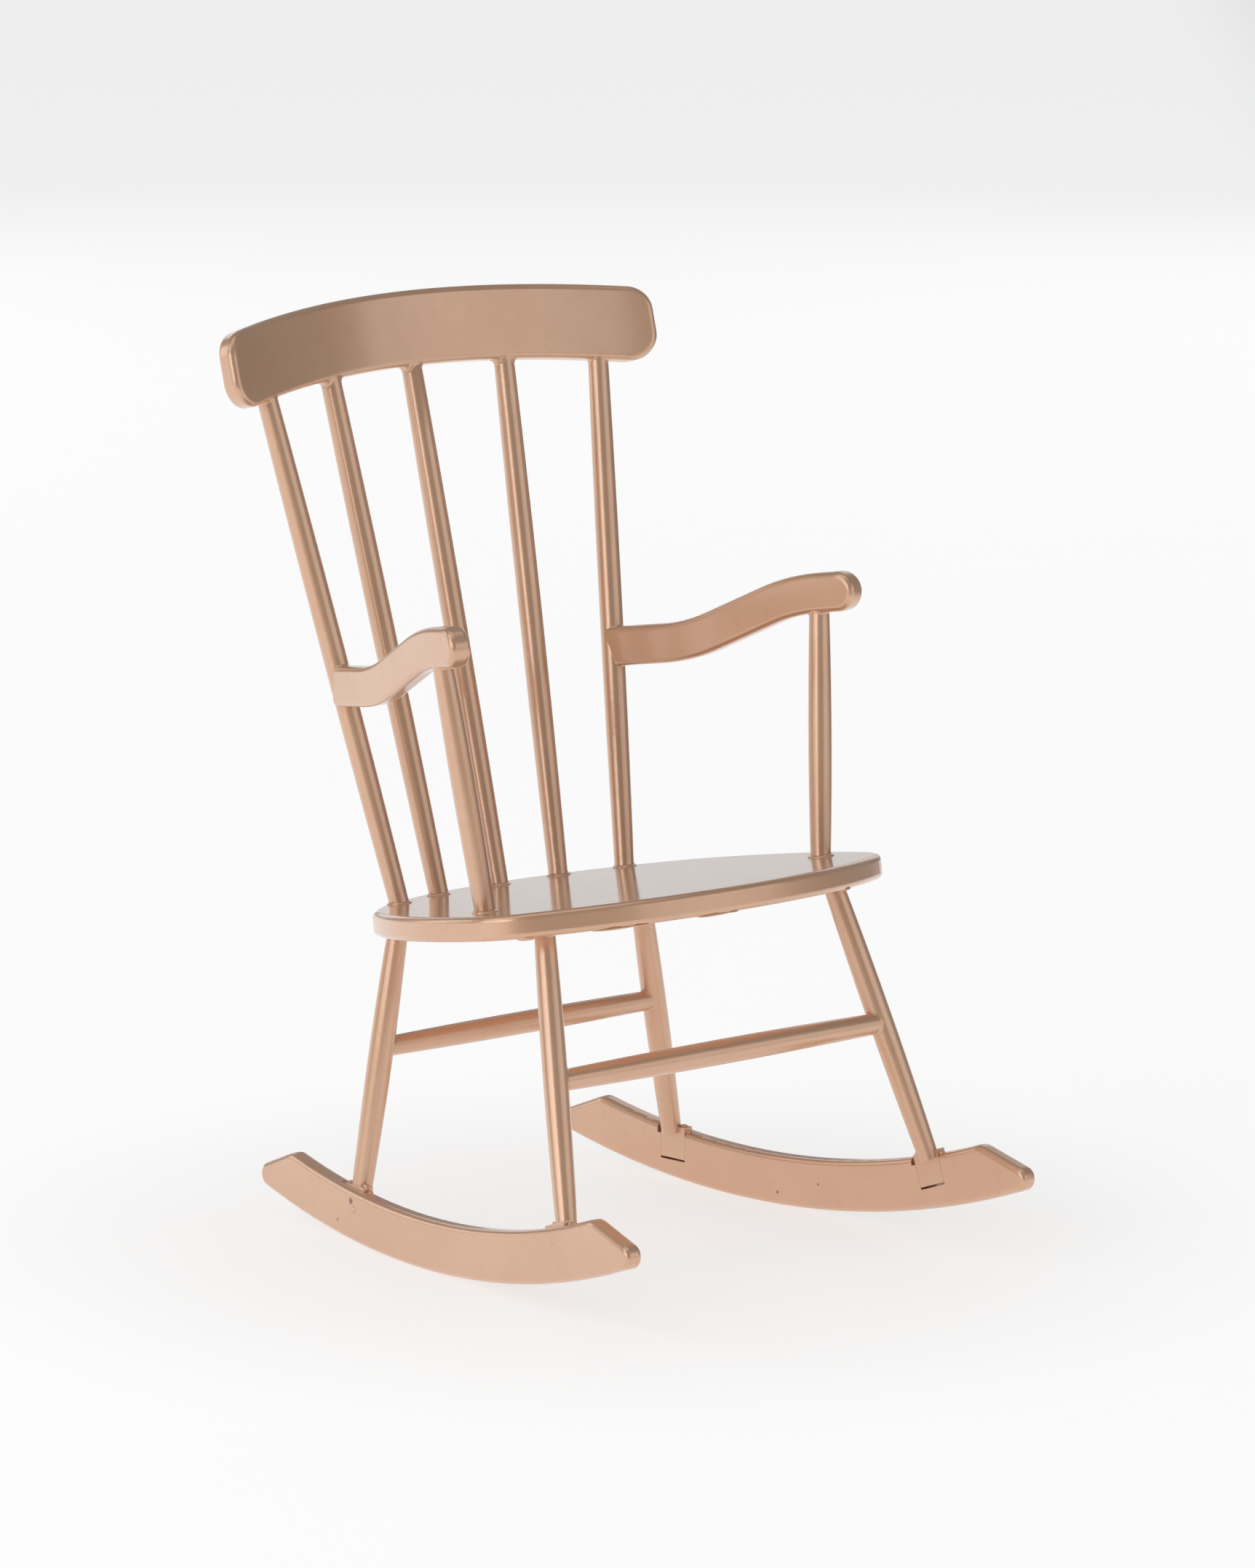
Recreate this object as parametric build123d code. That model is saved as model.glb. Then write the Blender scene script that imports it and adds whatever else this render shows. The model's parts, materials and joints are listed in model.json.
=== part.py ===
from build123d import *
import math
import os

os.makedirs("parts", exist_ok=True)

# A miniature rocking chair in solid painted metal. The seat, the crest rail, the arms and the
# rockers are plates; everything else is round bar with a slight belly, let into its neighbours.
# Millimetres and degrees. +X is the right side seen from the front, the front faces -Y, +Z is up,
# and the rockers stand on z = 0. "right" pieces are modelled at +X and mirrored for the left.

# Seat plate. Its own frame lies in its top face, with y to the back and z square to the face.
SEAT_HEIGHT = 50.1          # height of the seat frame's origin above the floor
SEAT_SETBACK = -7.68        # y of the seat frame's origin
SEAT_TILT = 9.3             # the front is raised by this angle
SEAT_THICKNESS = 3.3
SEAT_REAR_WIDTH = 57.0
SEAT_FRONT_WIDTH = 67.0
SEAT_REAR = 23.6            # sharp rear and front corners, from the seat frame's origin
SEAT_FRONT = 10.0
SEAT_FRONT_BOW = 12.1
SEAT_REAR_BOW = 13.7
SEAT_SIDE_BOW = 3.4
SEAT_REAR_CORNER = 8.3
SEAT_FRONT_CORNER = 10.4
SEAT_EDGE = 0.8

# Crest rail: a curved band, hollow towards the sitter and arched, leaning back on the spindles.
BACK_HEIGHT = 71.4          # from the seat to the middle of the rail's lower edge
BACK_REACH = 39.6           # from the seat frame's origin back to the same point
CREST_LEAN = 6.0
CREST_HEIGHT = 10.3
CREST_THICKNESS = 3.0
CREST_HALF_LENGTH = 36.6
CREST_HOLLOW = 90.0         # plan radius of its middle surface
CREST_ARCH = 156.0          # radius of its lower edge
CREST_CORNER = 3.6
CREST_EDGE = 0.8

# Round bars: diameters at the foot, the belly and the top.
SPINDLE = (2.7, 3.2, 2.8)
POST = (2.8, 3.2, 2.75)
LEG = (2.8, 3.35, 2.8)
REAR_STRETCHER = (2.65, 3.1, 2.65)
FRONT_STRETCHER = (2.8, 3.4, 2.8)

# Spindle feet on the seat as (x, y), and how far out their tops stand along the crest rail.
SPINDLE_FEET = ((0.0, 32.2), (10.4, 32.2), (19.6, 29.1))
SPINDLE_TOPS = (0.0, 15.0, 28.6)
POST_FOOT = (29.0, -1.8)
POST_LEAN_OUT = 3.4         # how far the top of a post stands outside its foot
POST_LEAN_FRONT = 0.85

# Arms: upright plates that start on the outer spindles and rise to the front.
ARM_HEIGHT = 5.4
ARM_THICKNESS = 3.0
ARM_SHARE = 0.434           # where the arm meets its spindle, as a share of the spindle's length
ARM_RISE = 5.5
ARM_RISE_START = 13.4
ARM_RISE_END = 31.6
ARM_BEND = 30.0
ARM_OVERHANG = 6.7          # from the post's axis to the tip
ARM_EDGE = 0.8

# Legs, as (x, y) of their tops under the seat.
REAR_LEG_TOP = (21.0, 28.1)
FRONT_LEG_TOP = (24.9, -8.7)
REAR_STRETCHER_SHARE = 0.46
FRONT_STRETCHER_SHARE = 0.51

# Rockers: upright plates that toe out to the front. s runs along the plate to the back.
ROCKER_X = 30.1             # middle of the plate at the rocker frame's origin
ROCKER_SETBACK = -0.24      # y of that origin
ROCKER_TOE = 5.0
ROCKER_THICKNESS = 2.6
ROCKER_DEPTH = 7.0
ROCKER_SOLE = 148.3         # radius of the lower edge
ROCKER_BACK = 132.5         # radius of the upper edge
ROCKER_MIDDLE = 7.4         # s of the lowest point
ROCKER_TIPS = (-50.45, 46.0)
ROCKER_SHOULDERS = (-38.0, 34.5)
ROCKER_TIP_ROUND = 1.7
ROCKER_SHOULDER_ROUND = 2.8
ROCKER_EDGE = 0.8
REAR_FOOT_S = 20.3
FRONT_FOOT_S = -29.0

# Joints
FIT = 0.03                  # clearance all round each tenon and coped end
TENON = 1.2
TENON_LENGTH = 2.6
SEAT_PIN = 1.9              # pin of a post or inner spindle, through the seat and riveted
RIVET_HEAD = 2.9
RIVET_HEIGHT = 0.35
BLIND_DEPTH = 1.2           # outer spindles and legs, which share the seat's thickness
STRETCHER_TENON = 1.4
STRETCHER_TENON_DEPTH = 1.3
ARM_TENON_DEPTH = 1.2
TONGUE_WIDTH = 4.6          # flattened foot of a leg, flush in the rocker's inner face
TONGUE_THICKNESS = 1.5
TONGUE_DEPTH = 4.2
TONGUE_SLIT = 0.28          # gap left in the rocker below the end of each tongue
TONGUE_LIP = 0.35           # how far a tongue stands above the rocker's upper edge
TONGUE_SETBACK = {"rear": -0.3, "front": 0.55}   # along the rocker, behind the leg's axis
FOOT_GAP = 0.7              # length of the gap that the braze left open behind each foot
FOOT_GAP_DEPTH = 1.0
BAR_TURN = 75.0             # about each bar's axis, so that its round face's seam misses the holes
OVERRUN = 1.0               # how far a bar runs into its neighbour before it is coped
CREST_OVERRUN = 0.5         # the same under the crest rail, whose rounded edge the spindle hugs

SEAT_FRAME = Pos(0, SEAT_SETBACK, SEAT_HEIGHT) * Rot(X=-SEAT_TILT)
CREST_FRAME = SEAT_FRAME * Pos(0, BACK_REACH, BACK_HEIGHT) * Rot(X=-CREST_LEAN)
ROCKER_PLANE = Plane(
    origin=(ROCKER_X, ROCKER_SETBACK, 0),
    x_dir=(-math.sin(math.radians(ROCKER_TOE)), math.cos(math.radians(ROCKER_TOE)), 0),
    z_dir=(math.cos(math.radians(ROCKER_TOE)), math.sin(math.radians(ROCKER_TOE)), 0),
)


def point(frame, x, y, z=0.0):
    """A point given in a frame, as a vector in the chair's own frame."""
    return (frame * Pos(x, y, z)).position


def rod(start, end, diameter):
    """A plain cylinder between two points."""
    axis = end - start
    return Plane(origin=start, z_dir=axis) * extrude(Circle(diameter / 2), axis.length)


def turned_bar(start, end, diameters, overrun_foot=0.0, overrun_top=0.0, grow=0.0):
    """A round bar that swells gently between its foot and its top."""
    axis = end - start
    length = axis.length
    foot, belly, top = (size / 2 + grow for size in diameters)
    flank = ThreePointArc((foot, 0), (belly, length / 2), (top, length))
    corners = [(top, length), (top, length + overrun_top), (0, length + overrun_top)]
    corners += [(0, -overrun_foot), (foot, -overrun_foot), (foot, 0)]
    steps = [Line(a, b) for a, b in zip(corners, corners[1:]) if a != b]
    section = make_face([flank] + steps)
    return Plane(origin=start, z_dir=axis) * Rot(Z=BAR_TURN) * revolve(Plane.XZ * section, Axis.Z)


def drop(radius, reach):
    """How far an arc has fallen at a distance from its crown."""
    return radius - math.sqrt(radius ** 2 - reach ** 2)


def largest(shape):
    """The main solid of a cut bar, without the stub left on the far side of its neighbour."""
    return shape.solids().sort_by(SortBy.VOLUME)[-1]


def left(piece):
    """The mirror image of a right-hand piece."""
    return mirror(piece, about=Plane.YZ)


# ---- the plates, before any joint is cut

def seat_blank():
    rear, front = SEAT_REAR_WIDTH / 2, SEAT_FRONT_WIDTH / 2
    middle_x = (rear + front) / 2 + SEAT_SIDE_BOW
    middle_y = (SEAT_REAR - SEAT_FRONT) / 2
    outline = make_face([
        ThreePointArc((-rear, SEAT_REAR), (0, SEAT_REAR + SEAT_REAR_BOW), (rear, SEAT_REAR)),
        ThreePointArc((rear, SEAT_REAR), (middle_x, middle_y), (front, -SEAT_FRONT)),
        ThreePointArc((front, -SEAT_FRONT), (0, -SEAT_FRONT - SEAT_FRONT_BOW), (-front, -SEAT_FRONT)),
        ThreePointArc((-front, -SEAT_FRONT), (-middle_x, middle_y), (-rear, SEAT_REAR)),
    ])
    outline = fillet(outline.vertices().filter_by(lambda v: v.Y > 0), SEAT_REAR_CORNER)
    outline = fillet(outline.vertices().sort_by(Axis.Y)[:2], SEAT_FRONT_CORNER)
    plate = extrude(outline, -SEAT_THICKNESS)
    rims = plate.faces().filter_by(Axis.Z).edges()
    return SEAT_FRAME * fillet(rims, SEAT_EDGE)


def crest_blank():
    tall = CREST_HEIGHT * 3
    band = Pos(0, -CREST_HOLLOW) * (
        Cylinder(CREST_HOLLOW + CREST_THICKNESS / 2, tall)
        - Cylinder(CREST_HOLLOW - CREST_THICKNESS / 2, tall)
    )
    end = CREST_HALF_LENGTH
    low = -drop(CREST_ARCH, end)
    high = CREST_HEIGHT - drop(CREST_ARCH + CREST_HEIGHT, end)
    elevation = make_face([
        ThreePointArc((-end, low), (0, 0), (end, low)),
        Line((end, low), (end, high)),
        ThreePointArc((end, high), (0, CREST_HEIGHT), (-end, high)),
        Line((-end, high), (-end, low)),
    ])
    elevation = fillet(elevation.vertices(), CREST_CORNER)
    reach = drop(CREST_HOLLOW, end) + CREST_THICKNESS * 2
    slab = Plane.XZ * extrude(elevation, reach, both=True)
    rail = band & slab
    return CREST_FRAME * fillet(rail.edges(), CREST_EDGE)


def rocker_height(s):
    """Height of the rocker's upper edge above the floor."""
    return ROCKER_DEPTH + drop(ROCKER_BACK, s - ROCKER_MIDDLE)


def rocker_blank():
    def sole(s):
        return (s, drop(ROCKER_SOLE, s - ROCKER_MIDDLE))

    def back(s):
        return (s, rocker_height(s))

    front_tip, rear_tip = ROCKER_TIPS
    front_shoulder, rear_shoulder = ROCKER_SHOULDERS
    side = make_face([
        ThreePointArc(sole(front_tip), sole(ROCKER_MIDDLE), sole(rear_tip)),
        Line(sole(rear_tip), back(rear_shoulder)),
        ThreePointArc(back(rear_shoulder), back(ROCKER_MIDDLE), back(front_shoulder)),
        Line(back(front_shoulder), sole(front_tip)),
    ])
    ends = side.vertices().sort_by(Axis.X)
    side = fillet([ends[0], ends[-1]], ROCKER_TIP_ROUND)
    shoulders = side.vertices().filter_by(
        lambda v: any(abs(v.X - s) < 0.01 for s in ROCKER_SHOULDERS)
    )
    side = fillet(shoulders, ROCKER_SHOULDER_ROUND)
    plate = extrude(side, ROCKER_THICKNESS / 2, both=True)
    rims = plate.faces().filter_by(Axis.Z).edges()
    return ROCKER_PLANE * fillet(rims, ROCKER_EDGE)


seat_plate = seat_blank()
crest_plate = crest_blank()
rocker_plate = rocker_blank()

# ---- back spindles

spindle_lines = []
for (foot_x, foot_y), top_x in zip(SPINDLE_FEET, SPINDLE_TOPS):
    foot = point(SEAT_FRAME, foot_x, foot_y)
    top = point(CREST_FRAME, top_x, -drop(CREST_HOLLOW, top_x), -drop(CREST_ARCH, top_x))
    spindle_lines.append((foot, top))


def seat_pin(foot, direction, through):
    """The pin below a bar's foot: blind, or through the seat with a riveted head."""
    down = direction.normalized() * -1
    if not through:
        return rod(foot, foot + down * BLIND_DEPTH, SEAT_PIN)
    tip = foot + down * (SEAT_THICKNESS + RIVET_HEIGHT)
    underside = foot + down * SEAT_THICKNESS
    head = rod(underside, tip, RIVET_HEAD) - seat_plate
    return rod(foot, tip, SEAT_PIN) + head


def pin_hole(foot, direction, through):
    down = direction.normalized() * -1
    depth = SEAT_THICKNESS * 2 if through else BLIND_DEPTH + FIT
    return rod(foot - down, foot + down * depth, SEAT_PIN + 2 * FIT)


def spindle(index):
    foot, top = spindle_lines[index]
    up = (top - foot).normalized()
    bar = turned_bar(foot, top, SPINDLE, overrun_foot=OVERRUN, overrun_top=CREST_OVERRUN)
    bar = largest(bar - seat_plate - crest_plate)
    outer = index == len(spindle_lines) - 1
    if outer:
        bar = largest(bar - arm_tenon(FIT))
    return bar + seat_pin(foot, up, through=not outer) + rod(top, top + up * TENON_LENGTH, TENON)


# ---- arms and their posts

def arm_start():
    foot, top = spindle_lines[-1]
    return foot + (top - foot) * ARM_SHARE


arm_root = (SEAT_FRAME.inverse() * Pos(*arm_start())).position
post_top_x = POST_FOOT[0] + POST_LEAN_OUT
post_top_y = POST_FOOT[1] - POST_LEAN_FRONT
arm_run = math.hypot(post_top_x - arm_root.X, post_top_y - arm_root.Y)
arm_angle = math.degrees(math.atan2(post_top_y - arm_root.Y, post_top_x - arm_root.X))
# x runs forward along the arm, y is square to the seat, and z points out sideways
ARM_FRAME = SEAT_FRAME * Pos(*arm_root) * Rot(Z=arm_angle) * Rot(X=90)


def arm_blank():
    nose = ARM_HEIGHT / 2
    centre = FilletPolyline(
        (0, 0),
        (ARM_RISE_START, 0),
        (ARM_RISE_END, ARM_RISE),
        (arm_run + ARM_OVERHANG - nose, ARM_RISE),
        radius=ARM_BEND,
    )
    side = make_face(offset(centre, nose, side=Side.BOTH))
    plate = extrude(side, ARM_THICKNESS / 2, both=True)
    rims = plate.faces().filter_by(Axis.Z).edges()
    plate = fillet(rims, ARM_EDGE)
    behind = Pos(-ARM_HEIGHT, 0, 0) * Box(ARM_HEIGHT * 2, ARM_HEIGHT * 3, ARM_THICKNESS * 2)
    return ARM_FRAME * (plate - behind)


def arm_tenon(grow=0.0):
    """The round tenon from the arm's end into the outer spindle."""
    root = point(ARM_FRAME, SPINDLE[1] / 2 + OVERRUN, 0)
    tip = point(ARM_FRAME, SPINDLE[1] / 2 - ARM_TENON_DEPTH - grow, 0)
    return rod(root, tip, STRETCHER_TENON + 2 * grow)


arm_plate = arm_blank()
post_foot = point(SEAT_FRAME, *POST_FOOT)
post_top = point(ARM_FRAME, arm_run, ARM_RISE - ARM_HEIGHT / 2)
post_up = (post_top - post_foot).normalized()


def arm_post():
    bar = turned_bar(post_foot, post_top, POST, overrun_foot=OVERRUN, overrun_top=OVERRUN)
    bar = largest(bar - seat_plate - arm_plate)
    return bar + seat_pin(post_foot, post_up, through=True) + rod(
        post_top, post_top + post_up * TENON_LENGTH, TENON
    )


def arm():
    foot, top = spindle_lines[-1]
    plate = arm_plate - turned_bar(foot, top, SPINDLE, grow=FIT)
    plate -= rod(post_top - post_up, post_top + post_up * (TENON_LENGTH + FIT), TENON + 2 * FIT)
    return plate + arm_tenon()


# ---- rockers, legs and stretchers

def foot_point(s):
    """Where a leg's axis meets the rocker: over its inner face, level with its upper edge."""
    return point(ROCKER_PLANE.location, s, rocker_height(s), -ROCKER_THICKNESS / 2)


leg_lines = {
    "rear": (point(SEAT_FRAME, *REAR_LEG_TOP, -SEAT_THICKNESS), foot_point(REAR_FOOT_S)),
    "front": (point(SEAT_FRAME, *FRONT_LEG_TOP, -SEAT_THICKNESS), foot_point(FRONT_FOOT_S)),
}


def tongue_place(which):
    """The middle of a tongue's top on the rocker's inner face, turned in line with the leg."""
    top, foot = leg_lines[which]
    in_plane = ROCKER_PLANE.to_local_coords(top - foot + ROCKER_PLANE.origin)
    slant = math.degrees(math.atan2(in_plane.X, in_plane.Y))
    at = ROCKER_PLANE.to_local_coords(foot)
    middle = Pos(at.X + TONGUE_SETBACK[which], at.Y, -ROCKER_THICKNESS / 2)
    return ROCKER_PLANE.location * middle * Rot(Z=-slant)


def tongue(which, above=TONGUE_LIP, grow=0.0, slit=0.0):
    """The flat foot of a leg, where it lies in the rocker's inner face."""
    width = TONGUE_WIDTH + 2 * grow
    below = TONGUE_DEPTH + grow + slit
    depth = TONGUE_THICKNESS + grow
    block = Pos(0, (above - below) / 2, depth / 2) * Box(width, above + below, depth)
    return tongue_place(which) * block


def foot_gap(which):
    """A notch in the rocker's upper edge, next to the tongue on its rear side."""
    depth = TONGUE_THICKNESS + FIT
    start = TONGUE_WIDTH / 2
    tall = TONGUE_DEPTH + FOOT_GAP_DEPTH
    middle = Pos(start + FOOT_GAP / 2, TONGUE_DEPTH - tall / 2, depth / 2)
    return tongue_place(which) * middle * Box(FOOT_GAP, tall, depth)


def leg(which, stretcher_share):
    top, foot = leg_lines[which]
    up = (top - foot).normalized()
    bar = turned_bar(foot, top, LEG, overrun_foot=OVERRUN / 2, overrun_top=OVERRUN)
    bar = largest(bar - seat_plate - rocker_plate)
    bar += rod(top, top + up * BLIND_DEPTH, SEAT_PIN) + tongue(which)
    return bar - stretcher_tenon(which, stretcher_share, FIT)


def stretcher_ends(which, share):
    top, foot = leg_lines[which]
    right_end = top + (foot - top) * share
    return Vector(-right_end.X, right_end.Y, right_end.Z), right_end


def stretcher_tenon(which, share, grow=0.0):
    inward = Vector(-1, 0, 0)
    end = stretcher_ends(which, share)[1]
    surface = end + inward * (LEG[1] / 2)
    return rod(surface + inward, surface - inward * (STRETCHER_TENON_DEPTH + grow),
               STRETCHER_TENON + 2 * grow)


def stretcher(which, share, diameters):
    start, end = stretcher_ends(which, share)
    top, foot = leg_lines[which]
    bar = turned_bar(start, end, diameters)
    leg_body = turned_bar(foot, top, LEG, grow=FIT)
    bar = largest(bar - leg_body - left(leg_body))
    tenon = stretcher_tenon(which, share)
    return bar + tenon + left(tenon)


def rocker():
    plate = rocker_plate
    for which in leg_lines:
        plate = plate - tongue(which, TONGUE_DEPTH, FIT, TONGUE_SLIT) - foot_gap(which)
    return plate


def seat():
    plate = seat_plate
    for index, (foot, top) in enumerate(spindle_lines):
        hole = pin_hole(foot, top - foot, through=index < len(spindle_lines) - 1)
        plate -= hole
        if index > 0:
            plate -= left(hole)
    post_hole = pin_hole(post_foot, post_up, through=True)
    plate = plate - post_hole - left(post_hole)
    for top, foot in leg_lines.values():
        up = (top - foot).normalized()
        socket = rod(top - up, top + up * (BLIND_DEPTH + FIT), SEAT_PIN + 2 * FIT)
        plate = plate - socket - left(socket)
    return plate


def crest_rail():
    rail = crest_plate
    for index, (foot, top) in enumerate(spindle_lines):
        up = (top - foot).normalized()
        socket = rod(top - up, top + up * (TENON_LENGTH + FIT), TENON + 2 * FIT)
        rail -= socket
        if index > 0:
            rail -= left(socket)
    return rail


pieces = {
    "seat": seat(),
    "crest_rail": crest_rail(),
    "front_stretcher": stretcher("front", FRONT_STRETCHER_SHARE, FRONT_STRETCHER),
    "rear_stretcher": stretcher("rear", REAR_STRETCHER_SHARE, REAR_STRETCHER),
}
# spindles are numbered from the left; the middle one is number 3
for index in range(len(spindle_lines)):
    shape = spindle(index)
    pieces[f"spindle_{3 + index}"] = shape
    if index > 0:
        pieces[f"spindle_{3 - index}"] = left(shape)
paired = {
    "arm": arm(),
    "arm_post": arm_post(),
    "front_leg": leg("front", FRONT_STRETCHER_SHARE),
    "rear_leg": leg("rear", REAR_STRETCHER_SHARE),
    "rocker": rocker(),
}
for name, shape in paired.items():
    pieces[f"right_{name}"] = shape
    pieces[f"left_{name}"] = left(shape)

for name, shape in pieces.items():
    export_step(shape, f"parts/{name}.step")
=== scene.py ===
"""A miniature rocking chair in solid metal, sprayed all over in one pearl tan paint.

Metres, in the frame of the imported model: +Z up, the front faces -Y, the rockers stand on z = 0.
"""

import json
import math
import random

import bmesh
import bpy
import numpy as np
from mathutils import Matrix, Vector
from mathutils.bvhtree import BVHTree


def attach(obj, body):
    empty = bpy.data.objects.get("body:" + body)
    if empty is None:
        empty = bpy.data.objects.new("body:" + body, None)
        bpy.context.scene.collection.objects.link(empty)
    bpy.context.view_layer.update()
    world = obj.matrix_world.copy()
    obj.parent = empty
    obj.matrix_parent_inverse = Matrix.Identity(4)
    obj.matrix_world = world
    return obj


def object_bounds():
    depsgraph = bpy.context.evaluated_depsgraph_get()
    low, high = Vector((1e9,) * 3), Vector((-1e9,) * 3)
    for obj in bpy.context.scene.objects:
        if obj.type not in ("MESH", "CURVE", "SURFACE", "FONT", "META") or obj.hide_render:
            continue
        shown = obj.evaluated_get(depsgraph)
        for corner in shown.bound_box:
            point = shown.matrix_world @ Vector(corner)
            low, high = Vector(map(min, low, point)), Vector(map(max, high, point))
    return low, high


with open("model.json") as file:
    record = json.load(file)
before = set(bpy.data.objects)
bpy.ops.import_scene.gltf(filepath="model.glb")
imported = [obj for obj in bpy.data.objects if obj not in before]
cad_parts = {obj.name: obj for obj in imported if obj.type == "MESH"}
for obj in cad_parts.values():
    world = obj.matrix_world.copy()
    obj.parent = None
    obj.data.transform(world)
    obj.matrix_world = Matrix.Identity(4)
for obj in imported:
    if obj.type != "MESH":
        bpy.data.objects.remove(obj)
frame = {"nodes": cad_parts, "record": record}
cad_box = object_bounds()
nodes = frame["nodes"]
chance = random.Random(7)


# ---------------------------------------------------------------- seat
# The seat is one thick plate with rounded rims, and it carries every other part of the back.
# Solid metal under sprayed pearl paint: metallic flake under a thin clear coat, wet-looking on
# the flat top, with a few small pits that are painted dark as shade.


class Socket:
    """A value on a material's node board, usable in plain arithmetic."""

    def __init__(self, board, output):
        self.board = board
        self.output = output

    def __add__(self, other):
        return self.board.math("ADD", self, other)

    def __sub__(self, other):
        return self.board.math("SUBTRACT", self, other)

    def __rsub__(self, other):
        return self.board.math("SUBTRACT", other, self)

    def __mul__(self, other):
        return self.board.math("MULTIPLY", self, other)

    __radd__ = __add__
    __rmul__ = __mul__


class Board:
    """The node board of one new material, with its principled shader."""

    def __init__(self, name):
        self.material = bpy.data.materials.new(name)
        self.material.use_nodes = True
        self.tree = self.material.node_tree
        self.shader = self.tree.nodes["Principled BSDF"]
        self.place = self.add("ShaderNodeTexCoord", output="Object")

    def add(self, kind, settings=None, inputs=None, output=0):
        node = self.tree.nodes.new(kind)
        for key, value in (settings or {}).items():
            setattr(node, key, value)
        for key, value in (inputs or {}).items():
            self.feed(node.inputs[key], value)
        return Socket(self, node.outputs[output])

    def feed(self, socket, value):
        if isinstance(value, Socket):
            self.tree.links.new(value.output, socket)
        else:
            socket.default_value = value

    def math(self, operation, first, second):
        return self.add("ShaderNodeMath", {"operation": operation}, {0: first, 1: second})

    def noise(self, per_metre, detail=3.0, offset=(0, 0, 0)):
        """Even grain, 0 to 1, with about that many lumps to the metre."""
        moved = self.add("ShaderNodeMapping", inputs={0: self.place, "Location": offset})
        return self.add(
            "ShaderNodeTexNoise", inputs={"Vector": moved, "Scale": per_metre, "Detail": detail}
        )

    def step(self, value, start, end, low=0.0, high=1.0):
        """A soft step from low to high as the value goes from start to end."""
        return self.add(
            "ShaderNodeMapRange",
            {"interpolation_type": "SMOOTHSTEP"},
            {0: value, 1: start, 2: end, 3: low, 4: high},
        )

    def near(self, spot, reach, soft=0.4):
        """1 at a spot on the piece, falling to 0 at that distance from it."""
        distance = self.add(
            "ShaderNodeVectorMath", {"operation": "DISTANCE"}, {0: self.place, 1: spot}, "Value"
        )
        return self.step(distance, reach * soft, reach, 1.0, 0.0)

    def mix(self, share, first, second):
        return self.add(
            "ShaderNodeMix",
            {"data_type": "RGBA"},
            {"Factor": share, 6: first, 7: second},
            output=2,
        )

    def finish(self, colour, roughness, relief, depth):
        """Sends the colour, the roughness and the relief to the shader."""
        self.feed(self.shader.inputs["Base Color"], colour)
        self.feed(self.shader.inputs["Roughness"], roughness)
        bump = self.add(
            "ShaderNodeBump", inputs={"Height": relief, "Distance": depth, "Strength": 1.0}
        )
        self.feed(self.shader.inputs["Normal"], bump)
        return self.material


PAINT = (0.71, 0.415, 0.258, 1.0)
PAINT_DEEP = (0.60, 0.345, 0.20, 1.0)
PAINT_PALE = (0.76, 0.475, 0.305, 1.0)
# near-black brown put into each pit: painted shade in the hollow
PIT_SHADE = (0.10, 0.05, 0.03, 1.0)
PAINT_METALLIC = 0.6
PAINT_ROUGHNESS = 0.36
COAT_IOR = 1.7
COAT_ROUGHNESS = 0.13
CLOUDS_PER_METRE = 90       # slow unevenness of the sprayed film
MOTTLE_PER_METRE = 650      # its orange peel
FLAKES_PER_METRE = 9000     # the pearl flakes in it
RAGS_PER_METRE = 2600       # the torn edge of a scuff
PAINT_RELIEF = 0.00012      # height of the film's unevenness


def paint(name, offset=(0, 0, 0), pits=(), scuffs=(), waviness=1.0):
    """Pearl paint over metal, with painted shade in its pits. pits and scuffs are (spot, reach) pairs
    on the piece.
    """
    board = Board(name)
    board.feed(board.shader.inputs["Metallic"], PAINT_METALLIC)
    board.feed(board.shader.inputs["Coat Weight"], 1.0)
    board.feed(board.shader.inputs["Coat IOR"], COAT_IOR)
    board.feed(board.shader.inputs["Coat Roughness"], COAT_ROUGHNESS)
    cloud = board.noise(CLOUDS_PER_METRE, offset=offset)
    mottle = board.noise(MOTTLE_PER_METRE, detail=4.0, offset=offset)
    flake = board.noise(FLAKES_PER_METRE, detail=1.0, offset=offset)
    colour = board.mix(board.step(cloud, 0.35, 0.68) * 0.5, PAINT, PAINT_PALE)
    colour = board.mix(board.step(mottle, 0.5, 0.75) * 0.16, colour, PAINT_DEEP)
    colour = board.mix(board.step(flake, 0.62, 0.80) * 0.22, colour, PAINT_PALE)
    roughness = PAINT_ROUGHNESS + (mottle - 0.5) * 0.06 + (flake - 0.5) * 0.10
    relief = cloud * (0.30 * waviness) + mottle * (0.05 * waviness) + flake * 0.006
    for spot, reach in pits:
        # each pit is darkened almost to black brown: painted shade in the hollow, over a real dip in
        # the relief
        hole = board.near(spot, reach)
        colour = board.mix(hole * 0.8, colour, PIT_SHADE)
        roughness = roughness + hole * 0.3
        relief = relief - hole * 1.4
    for spot, reach in scuffs:
        rags = board.step(board.noise(RAGS_PER_METRE), 0.45, 0.6)
        ragged = board.near(spot, reach, soft=0.1) * rags
        colour = board.mix(ragged * 0.45, colour, PAINT_DEEP)
        roughness = roughness + ragged * 0.15
        relief = relief + ragged * 0.35
    return board.finish(colour, roughness, relief, PAINT_RELIEF)


def coat(name, material):
    """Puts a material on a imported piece."""
    slots = nodes[name].material_slots
    if not slots:
        nodes[name].data.materials.append(material)
    for slot in slots:
        slot.material = material


seat_mount = frame["record"]["mounts"][0]
seat_point = Vector(seat_mount["pos_m"])
seat_up = Vector(seat_mount["axis"]).normalized()
seat_back = Vector((0, seat_up.z, -seat_up.y))


def on_seat(x, y, above=0.0):
    """A point over the seat's top face: x to the right and y to the back from its middle."""
    return seat_point + Vector((x, 0, 0)) + seat_back * y + seat_up * above


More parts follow.
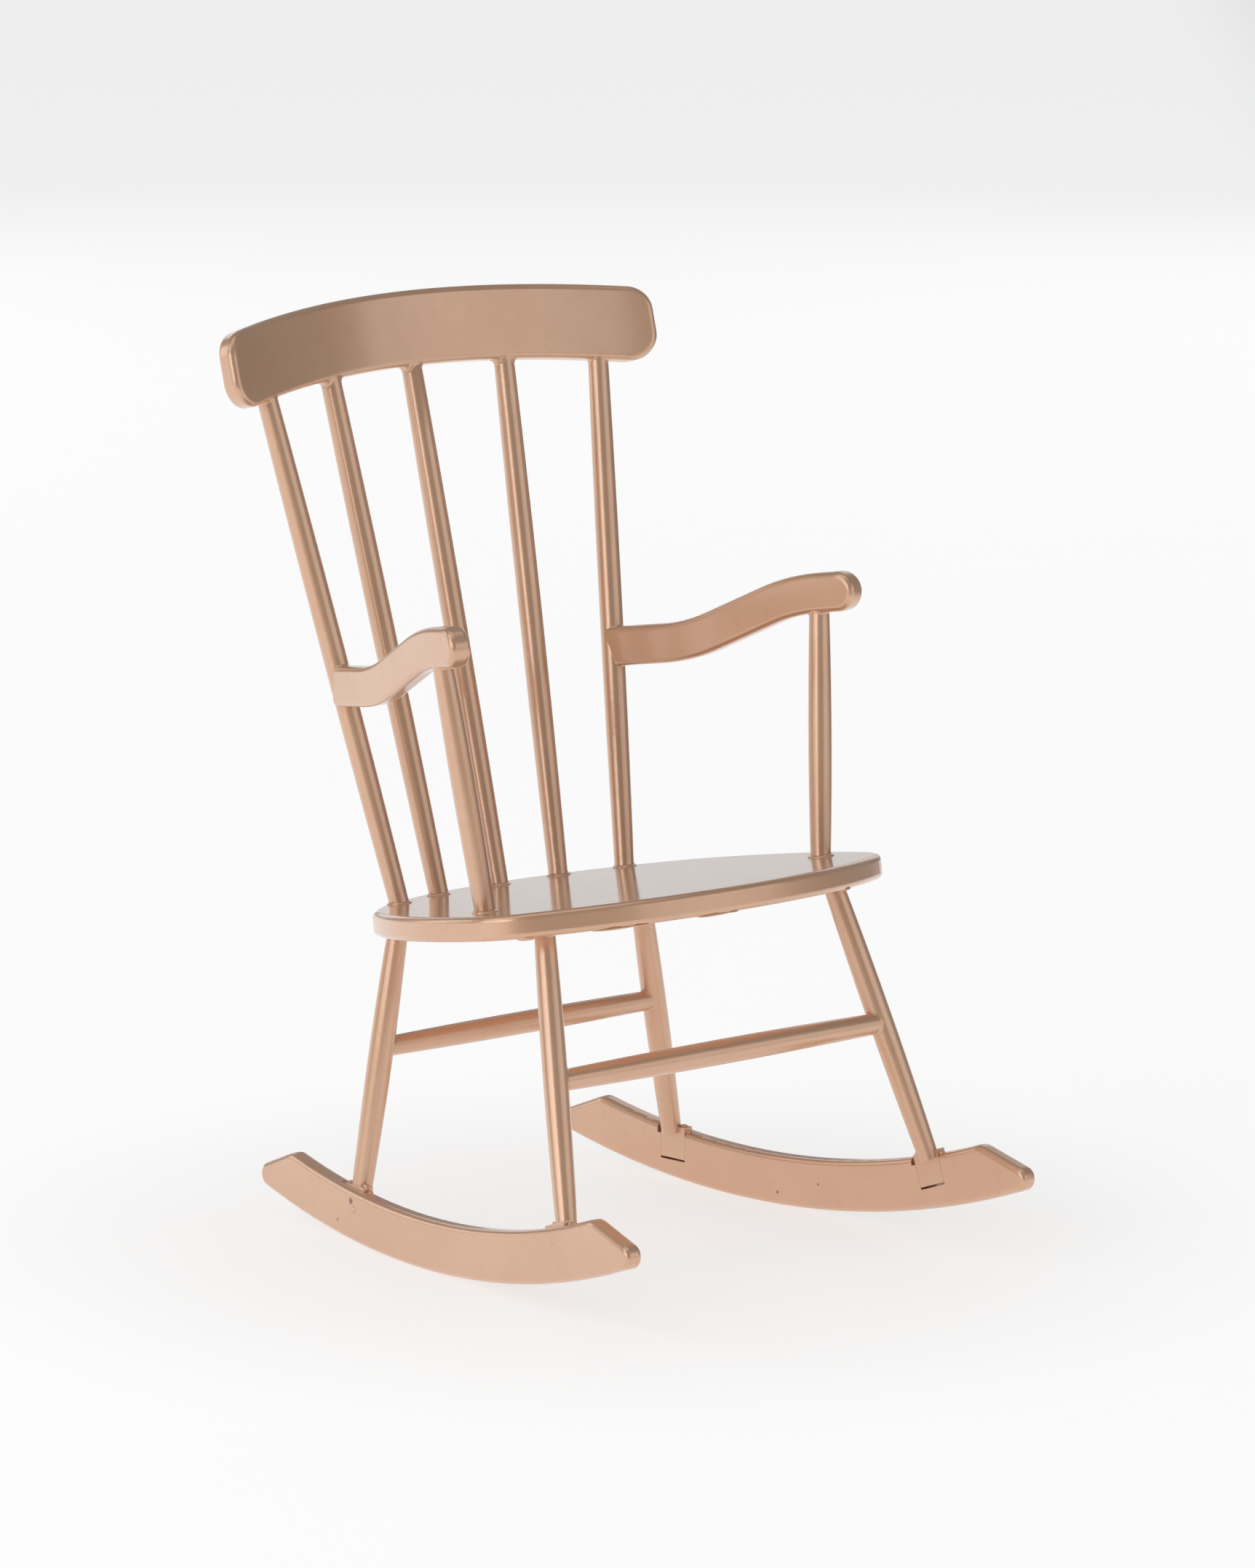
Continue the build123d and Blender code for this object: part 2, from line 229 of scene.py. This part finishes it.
# small pits, each painted dark as the shade in its hollow: one in the front edge and two on the top,
# as (spot, reach)
seat_pits = [
    (on_seat(0.0056, -0.0318, -0.0014), 0.00032),
    (on_seat(0.006, 0.004), 0.00020),
    (on_seat(-0.019, 0.012), 0.00016),
]
coat("seat", paint("seat_paint", pits=seat_pits, waviness=0.2))


def wave(depth):
    """An uneven factor near 1 for going once round something, the same after a full turn."""
    terms = []
    for count in (2, 3, 5):
        start = chance.uniform(0, 6.28)
        terms.append((count, start, depth * chance.uniform(0.4, 1)))
    return lambda turn: 1 + sum(size * math.sin(count * turn + start) for count, start, size in terms)


def lump(shell, middle, axes):
    """A closed, slightly uneven blob; axes are its three half-widths as vectors."""
    around = 20
    levels = 9
    turn_wave, rise_wave = wave(0.10), wave(0.10)
    rows = []
    for level in range(1, levels):
        rise = math.pi * level / levels
        row = []
        for step in range(around):
            turn = 2 * math.pi * step / around
            swell = turn_wave(turn) * rise_wave(rise)
            across = axes[0] * math.cos(turn) + axes[1] * math.sin(turn)
            spot = across * (math.sin(rise) * swell) + axes[2] * math.cos(rise)
            row.append(shell.verts.new(middle + spot))
        rows.append(row)
    ends = [shell.verts.new(middle + axes[2]), shell.verts.new(middle - axes[2])]
    for step in range(around):
        after = (step + 1) % around
        shell.faces.new((ends[0], rows[0][step], rows[0][after]))
        shell.faces.new((ends[1], rows[-1][after], rows[-1][step]))
        for upper, lower in zip(rows, rows[1:]):
            shell.faces.new((upper[step], lower[step], lower[after], upper[after]))


def add_piece(name, shell, material):
    """Makes a smooth piece of a finished shell, fixed to the chair."""
    bmesh.ops.recalc_face_normals(shell, faces=shell.faces)
    mesh = bpy.data.meshes.new(name)
    shell.to_mesh(mesh)
    shell.free()
    mesh.shade_smooth()
    mesh.materials.append(material)
    piece = bpy.data.objects.new(name, mesh)
    bpy.context.scene.collection.objects.link(piece)
    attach(piece, "root")


def skin(name):
    """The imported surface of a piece, for finding points on it."""
    mesh = nodes[name].data
    return BVHTree.FromPolygons([v.co for v in mesh.vertices], [p.vertices for p in mesh.polygons])


skins = {name: skin(name) for name in nodes}

# runs of paint that gathered and dried under the front lip
LIP_RUNS = (
    # x, half-length along the lip, hang
    (-0.0302, 0.0012, 0.00030),
    (-0.0200, 0.0026, 0.00026),
    (-0.0165, 0.0013, 0.00018),
    (-0.0062, 0.0022, 0.00028),
    (-0.0030, 0.0012, 0.00018),
    (0.0200, 0.0009, 0.00030),
)
RUN_HALF_WIDTH = 0.0008
RUN_SETBACK = 0.0011        # from the lip's outermost line to the middle of a run
SEAT_DEPTH = 0.0033


def on_lip(x):
    """The outermost point of the seat's front lip, at that far to the right."""
    before_lip = on_seat(x, -0.06, -SEAT_DEPTH * 0.5)
    return skins["seat"].ray_cast(before_lip, seat_back)[0]


runs = bmesh.new()
for x, length, hang in LIP_RUNS:
    lip = on_lip(x)
    along = (on_lip(x + 0.001) - lip).normalized()
    under = lip + seat_back * RUN_SETBACK - seat_up * (SEAT_DEPTH * 0.5)
    lump(runs, under, (along * length, seat_back * RUN_HALF_WIDTH, seat_up * hang))
add_piece("seat_lip_runs", runs, paint("lip_run_paint", offset=(0.1, 0, 0), waviness=0.5))


# ---------------------------------------------------------------- bars
# Spindles, arm posts, legs and stretchers are round bar with a slight belly, pinned or let into
# their neighbours. Solid metal, sprayed after brazing, so each joint has its own small ring of
# paint: a raised one where a bar stands on the seat, a hollow fillet at every other joint.

for number, name in enumerate(sorted(nodes)):
    if any(word in name for word in ("spindle", "post", "leg", "stretcher")):
        coat(name, paint(f"{name}_paint", offset=(0.013 * number, 0.02, 0)))

RING_TURNS = 56             # facets round a ring
BEFORE_JOINT = 0.0012       # where a bar's width is read, before its end
PROBE_RADIUS = 0.0013       # how far from a bar's axis its neighbour is looked for
BEYOND_BAR = 0.008          # farther from a bar's axis than any side
SUNK = 0.00002              # how deep a ring's rims lie in the metal
BURIED = 0.00014            # and its hidden inner edge
# rings of paint, as (out over the neighbour, up along the bar, swell)
SPINDLE_RING = (0.00038, 0.00030, 0.75)
POST_RING = (0.00042, 0.00034, 0.75)
CREST_FILLET = (0.0006, 0.0009, 0.05)
LEG_FILLET = (0.0004, 0.0005, 0.15)
STRETCHER_FILLET = (0.00030, 0.00040, 0.1)
ARM_FILLET = (0.00024, 0.00040, 0.1)


def square_to(direction):
    """Two directions square to one another and to the given one."""
    side = direction.orthogonal().normalized()
    return side, direction.cross(side)


def side_of(name, station, spoke):
    """The point on a piece's side that lies in one direction from a station inside it."""
    outside = station + spoke * BEYOND_BAR
    hit = skins[name].ray_cast(outside, -spoke)[0]
    return hit if hit is not None else skins[name].find_nearest(outside)[0]


def bar_axis(name):
    """A point in the middle of a round bar and the direction of its axis, upwards or to +X."""
    spots = np.array([v.co for v in nodes[name].data.vertices])
    middle = Vector(spots.mean(0))
    along = Vector(np.linalg.svd(spots - spots.mean(0), full_matrices=False)[2][0])
    if along.z + 0.1 * along.x < 0:
        along = -along
    quarter = 0.25 * max((Vector(s) - middle).dot(along) for s in spots)
    for _ in range(3):
        side, front = square_to(along)
        centres = []
        for end in (-2, 2):
            station = middle + along * (quarter * end)
            rim = []
            for step in range(16):
                turn = math.pi * step / 8
                spoke = side * math.cos(turn) + front * math.sin(turn)
                rim.append(side_of(name, station, spoke))
            centres.append(sum(rim, Vector()) / len(rim))
        middle = (centres[0] + centres[1]) / 2
        along = (centres[1] - centres[0]).normalized()
    return middle, along


def before_joint(own, other, ahead):
    """A point on a bar's axis just before the neighbour that lies ahead of it."""
    middle = bar_axis(own)[0]
    side, front = square_to(ahead)
    gaps = []
    for step in range(12):
        turn = math.pi * step / 6
        start = middle + (side * math.cos(turn) + front * math.sin(turn)) * PROBE_RADIUS
        hit = skins[other].ray_cast(start, ahead)[0]
        if hit is not None:
            gaps.append((hit - start).dot(ahead))
    return middle + ahead * (sum(gaps) / len(gaps) - BEFORE_JOINT)


def ring(shell, own, other, start, ahead, out, up, swell):
    """A ring of paint where a bar going ahead meets its neighbour: out over the neighbour, up
    along the bar. swell is 0 for a hollow fillet and 1 for a raised bead."""
    side, front = square_to(ahead)
    out_wave, up_wave = wave(0.13), wave(0.16)
    rows = []
    for step in range(RING_TURNS):
        turn = 2 * math.pi * step / RING_TURNS
        spoke = side * math.cos(turn) + front * math.sin(turn)
        surface = side_of(own, start, spoke)
        corner = skins[other].ray_cast(surface, ahead)[0]
        if corner is None:
            corner = skins[other].find_nearest(surface + ahead * BEFORE_JOINT)[0]
        outer, face = skins[other].find_nearest(corner + spoke * (out * out_wave(turn)))[:2]
        upper = skins[own].find_nearest(corner - ahead * (up * up_wave(turn)))[0]
        outer = outer - face * SUNK
        upper = upper - spoke * SUNK
        knee = corner + (outer + upper - corner * 2) * swell
        row = []
        for share in (0, 0.25, 0.5, 0.75, 1):
            bend = outer * (1 - share) ** 2 + knee * (2 * share * (1 - share)) + upper * share ** 2
            row.append(shell.verts.new(bend))
        row.append(shell.verts.new(corner + (ahead - spoke) * BURIED))
        rows.append(row)
    for here, there in zip(rows, rows[1:] + rows[:1]):
        for place in range(len(here)):
            after = (place + 1) % len(here)
            shell.faces.new((here[place], there[place], there[after], here[after]))


seat_rings = bmesh.new()
crest_rings = bmesh.new()
for number in range(1, 6):
    name = f"spindle_{number}"
    upward = bar_axis(name)[1]
    foot = before_joint(name, "seat", -upward)
    ring(seat_rings, name, "seat", foot, -upward, *SPINDLE_RING)
    top = before_joint(name, "crest_rail", upward)
    out, up, swell = CREST_FILLET
    full = 1.0 if number in (2, 3, 4) else 0.5
    ring(crest_rings, name, "crest_rail", top, upward, out * full, up * full, swell)
leg_rings = bmesh.new()
arm_rings = bmesh.new()
for hand in ("left", "right"):
    post = f"{hand}_arm_post"
    upward = bar_axis(post)[1]
    foot = before_joint(post, "seat", -upward)
    ring(seat_rings, post, "seat", foot, -upward, *POST_RING)
    top = before_joint(post, f"{hand}_arm", upward)
    ring(arm_rings, post, f"{hand}_arm", top, upward, *ARM_FILLET)
    for end in ("front", "rear"):
        leg = f"{hand}_{end}_leg"
        upward = bar_axis(leg)[1]
        ring(leg_rings, leg, "seat", before_joint(leg, "seat", upward), upward, *LEG_FILLET)
        cross = f"{end}_stretcher"
        outward = bar_axis(cross)[1] * (1 if hand == "right" else -1)
        start = before_joint(cross, leg, outward)
        ring(leg_rings, cross, leg, start, outward, *STRETCHER_FILLET)
all_rings = {
    "spindle_foot_rings": seat_rings,
    "spindle_top_fillets": crest_rings,
    "leg_fillets": leg_rings,
}
for name, shell in all_rings.items():
    add_piece(name, shell, paint(f"{name}_paint", offset=(0.2, 0.1, 0), waviness=0.6))


# ---------------------------------------------------------------- crest rail
# One curved and arched band of metal, hollow towards the sitter, with well-rounded corners and
# edges. It is drilled below for the five spindles. The paint is smooth.

coat("crest_rail", paint("crest_rail_paint", offset=(0.4, 0, 0), waviness=0.6))


# ---------------------------------------------------------------- arms
# Each arm is an upright plate cut in a rising wave, with rounded rims and a round nose. It is
# let into the outer spindle behind and pinned on its post in front, with a little paint drawn
# into both joints.

ARM_SHARE = 0.434           # height of the arm's root along its spindle
SPINDLE_RADIUS = 0.0016
for hand, outer_spindle, drift in (("left", "spindle_1", 0.1), ("right", "spindle_5", 0.2)):
    arm = f"{hand}_arm"
    coat(arm, paint(f"{arm}_paint", offset=(0.5, drift, 0), waviness=0.6))
    upward = bar_axis(outer_spindle)[1]
    foot = before_joint(outer_spindle, "seat", -upward)
    top = before_joint(outer_spindle, "crest_rail", upward)
    root = foot.lerp(top, ARM_SHARE)
    post = f"{hand}_arm_post"
    forward = before_joint(post, arm, bar_axis(post)[1]) - root
    forward = (forward - seat_up * forward.dot(seat_up)).normalized()
    start = root + forward * (SPINDLE_RADIUS + BEFORE_JOINT)
    ring(arm_rings, arm, outer_spindle, start, -forward, *ARM_FILLET)
add_piece("arm_fillets", arm_rings, paint("arm_fillet_paint", offset=(0.2, 0.3, 0), waviness=0.6))


# ---------------------------------------------------------------- rockers
# Two curved plates that toe out to the front. The flattened foot of each leg is let into the
# inner face, and beads of braze stand beside it on the upper edge, under the paint.

ROCKER_TOE = math.radians(5)
# beads beside each leg's foot, as (distance along the rocker to the back, half-length, height)
BEADS = {
    "left_rear_leg": (
        (-0.0021, 0.00055, 0.00042),
        (-0.0030, 0.00045, 0.00030),
        (0.0019, 0.0003, 0.0002),
    ),
    "left_front_leg": (
        (-0.0020, 0.00060, 0.00045),
        (-0.0029, 0.00040, 0.00022),
        (0.0018, 0.0004, 0.0003),
    ),
    "right_rear_leg": (
        (-0.0019, 0.00050, 0.00040),
        (-0.0027, 0.00040, 0.00026),
        (0.0019, 0.0005, 0.0004),
    ),
    "right_front_leg": (
        (-0.0019, 0.00045, 0.00034),
        (0.0019, 0.00055, 0.00042),
        (0.0027, 0.0004, 0.0003),
    ),
}
BEAD_SETOUT = 0.0007        # from a leg's axis outwards to its beads
BEYOND_NOTCH = 0.002        # from a leg's axis outwards to the part of the plate that isn't notched
DROP = 0.0015               # how high over a foot a bead falls from
ROCKER_LEVEL = 0.010        # first guess at the height of a rocker's upper edge
WELL_ABOVE = 0.01           # how high over a foot its rocker is looked for from
down = Vector((0, 0, -1))
beads = bmesh.new()
for leg, lumps in BEADS.items():
    hand = leg.split("_")[0]
    rocker = f"{hand}_rocker"
    outside = 1 if hand == "right" else -1
    back = Vector((-outside * math.sin(ROCKER_TOE), math.cos(ROCKER_TOE), 0))
    inward = Vector((-outside * math.cos(ROCKER_TOE), -math.sin(ROCKER_TOE), 0))
    middle, upward = bar_axis(leg)
    level = ROCKER_LEVEL
    for _ in range(3):
        foot = middle - upward * ((middle.z - level) / upward.z)
        over_plate = foot - inward * BEYOND_NOTCH - down * WELL_ABOVE
        level = skins[rocker].ray_cast(over_plate, down)[0].z
    for along, half, height in lumps:
        above = foot + back * along - inward * BEAD_SETOUT - down * DROP
        hits = [skins[name].ray_cast(above, down)[:2] for name in (rocker, leg)]
        spot, face = max((hit for hit in hits if hit[0] is not None), key=lambda hit: hit[0].z)
        slope = inward.cross(face).normalized()
        lump(beads, spot, (slope * half, inward * (half * 0.9), face * height))
# a run of paint that hangs below the pit in the left rocker's outer face
RUN_SPOT = Vector((-0.0298, 0.0183, 0.0050))
outward = Vector((-math.cos(ROCKER_TOE), math.sin(ROCKER_TOE), 0))
streak = (Vector((0, 0.00028, 0)), outward * 0.00022, Vector((0, 0, 0.0005)))
lump(beads, RUN_SPOT, streak)
add_piece("foot_beads", beads, paint("foot_bead_paint", offset=(0.3, 0.3, 0)))

# pits, each painted dark as the shade in its hollow, and rubbed specks on the two faces that show, as
# (spot, reach)
left_pits = [
    (Vector((-0.0297, 0.0190, 0.0061)), 0.00055),
    (Vector((-0.0294, 0.0223, 0.0029)), 0.00022),
]
left_scuffs = [
    (Vector((-0.0298, 0.0183, 0.0049)), 0.0008),
    (Vector((-0.0340, -0.0295, 0.0105)), 0.0010),
]
right_pits = [
    (Vector((0.0289, -0.0008, 0.0021)), 0.00026),
    (Vector((0.0295, -0.0086, 0.0045)), 0.00020),
]
coat("left_rocker", paint("left_rocker_paint", (0.6, -0.2, 0), left_pits, left_scuffs, 0.5))
coat("right_rocker", paint("right_rocker_paint", (0.6, 0.2, 0), right_pits, waviness=0.5))


# ---------------------------------------------------------------- studio
# The chair stands on a round table top of white card, which glows so that it looks white all
# round. It stays dark only near the camera and behind on the right, where the paint mirrors it,
# and its glow is turned down a little right under the chair as a painted shadow.
# Seven soft lights stand round the chair and one hangs above.

centre = (cad_box[0] + cad_box[1]) / 2
TABLE_RADII = (0.2, 0.6, 1.4, 2.6, 4.0)
TABLE_EDGES = 96
TABLE_GLOW = 0.72
CARD_GREY = (0.42, 0.42, 0.42, 1)
CARD_ROUGHNESS = 0.7


def floor_disc():
    """A round table top, far larger than the chair."""
    disc = bmesh.new()
    middle = disc.verts.new((0, 0, 0))
    turns = [2 * math.pi * k / TABLE_EDGES for k in range(TABLE_EDGES)]
    rings = []
    for radius in TABLE_RADII:
        rings.append([disc.verts.new((radius * math.cos(t), radius * math.sin(t), 0)) for t in turns])
    for k in range(TABLE_EDGES):
        after = (k + 1) % TABLE_EDGES
        disc.faces.new((middle, rings[0][k], rings[0][after]))
        for inner, outer in zip(rings, rings[1:]):
            disc.faces.new((inner[k], outer[k], outer[after], inner[after]))
    mesh = bpy.data.meshes.new("floor")
    disc.to_mesh(mesh)
    made = bpy.data.objects.new("floor", mesh)
    bpy.context.scene.collection.objects.link(made)
    return made


view_azimuth = math.radians(-39.33)
view_elevation = math.radians(11.12)
floor = floor_disc()
floor.rotation_euler.z = view_azimuth
card = Board("white_card")
grain = card.noise(40)
# across runs to the camera's right and behind runs away from it
across = card.add("ShaderNodeSeparateXYZ", inputs={0: card.place})
behind = card.add("ShaderNodeSeparateXYZ", inputs={0: card.place}, output="Y")
dark_corner = card.step(across, 0.15, 0.32) * card.step(behind, 0.0, 0.25)
# a painted shadow: the card's glow dimmed by up to 12 % round the foot of the chair
painted_shadow_under_chair = card.near((0, 0, 0), 0.11, soft=0.3)
lit = (1 - dark_corner) * card.step(behind, -0.8, -0.5) * (1 - painted_shadow_under_chair * 0.12)
card.feed(card.shader.inputs["Emission Color"], card.mix(lit, (0, 0, 0, 1), (1, 1, 1, 1)))
card.feed(card.shader.inputs["Emission Strength"], TABLE_GLOW)
card.finish(CARD_GREY, CARD_ROUGHNESS + grain * 0.1, grain, 0.0001)
floor.data.materials.append(card.material)


def soft_light(name, turn, tilt, distance, size, watts):
    """An area light aimed at the chair; turn is counted from the camera to the right."""
    data = bpy.data.lights.new(name, "AREA")
    data.shape = "RECTANGLE"
    data.size, data.size_y = size
    data.energy = watts
    light = bpy.data.objects.new(name, data)
    bpy.context.scene.collection.objects.link(light)
    angle = view_azimuth + math.radians(turn)
    lift = math.radians(tilt)
    away = Vector(
        (math.sin(angle) * math.cos(lift), -math.cos(angle) * math.cos(lift), math.sin(lift))
    )
    light.location = centre + away * distance
    light.rotation_euler = away.to_track_quat("Z", "Y").to_euler()


LIGHTS = (
    # name, turn and tilt in degrees, distance and size in metres, watts
    ("left_near", -60, 16, 1.0, (0.42, 0.50), 0.9),
    ("left_edge", -35, 16, 1.0, (0.42, 0.50), 1.3),
    ("left_high", -60, 48, 1.1, (0.70, 0.50), 1.2),
    ("left_far", -110, 16, 1.0, (0.42, 0.50), 0.8),
    ("back_left", -160, 16, 1.0, (0.42, 0.50), 0.5),
    ("back_right", 165, 16, 1.0, (0.42, 0.50), 0.4),
    ("right_wide", 64, 16, 1.0, (0.95, 0.50), 1.05),
    ("above", 0, 85, 1.2, (0.90, 0.90), 1.5),
)
for light in LIGHTS:
    soft_light(*light)

WORLD_STRENGTH = 0.25
world = bpy.data.worlds.new("studio")
bpy.context.scene.world = world
world.use_nodes = True
background = world.node_tree.nodes["Background"]
background.inputs["Color"].default_value = (1, 1, 1, 1)
background.inputs["Strength"].default_value = WORLD_STRENGTH

# the camera looks at a point beside the middle of the chair's box
AIM_OFFSET = Vector((0.0018, -0.0014, 0.0004))
CAMERA_DISTANCE = 1.2752
CAMERA_LENS = 272.88
aim = centre + AIM_OFFSET
towards_camera = Vector((
    math.sin(view_azimuth) * math.cos(view_elevation),
    -math.cos(view_azimuth) * math.cos(view_elevation),
    math.sin(view_elevation),
))
camera_data = bpy.data.cameras.new("camera")
camera_data.sensor_fit = "HORIZONTAL"
camera_data.sensor_width = 36.0
camera_data.lens = CAMERA_LENS
camera_data.clip_end = 20
camera = bpy.data.objects.new("camera", camera_data)
bpy.context.scene.collection.objects.link(camera)
camera.location = aim + towards_camera * CAMERA_DISTANCE
camera.rotation_euler = towards_camera.to_track_quat("Z", "Y").to_euler()
bpy.context.scene.camera = camera
bpy.context.scene.view_settings.view_transform = "Standard"
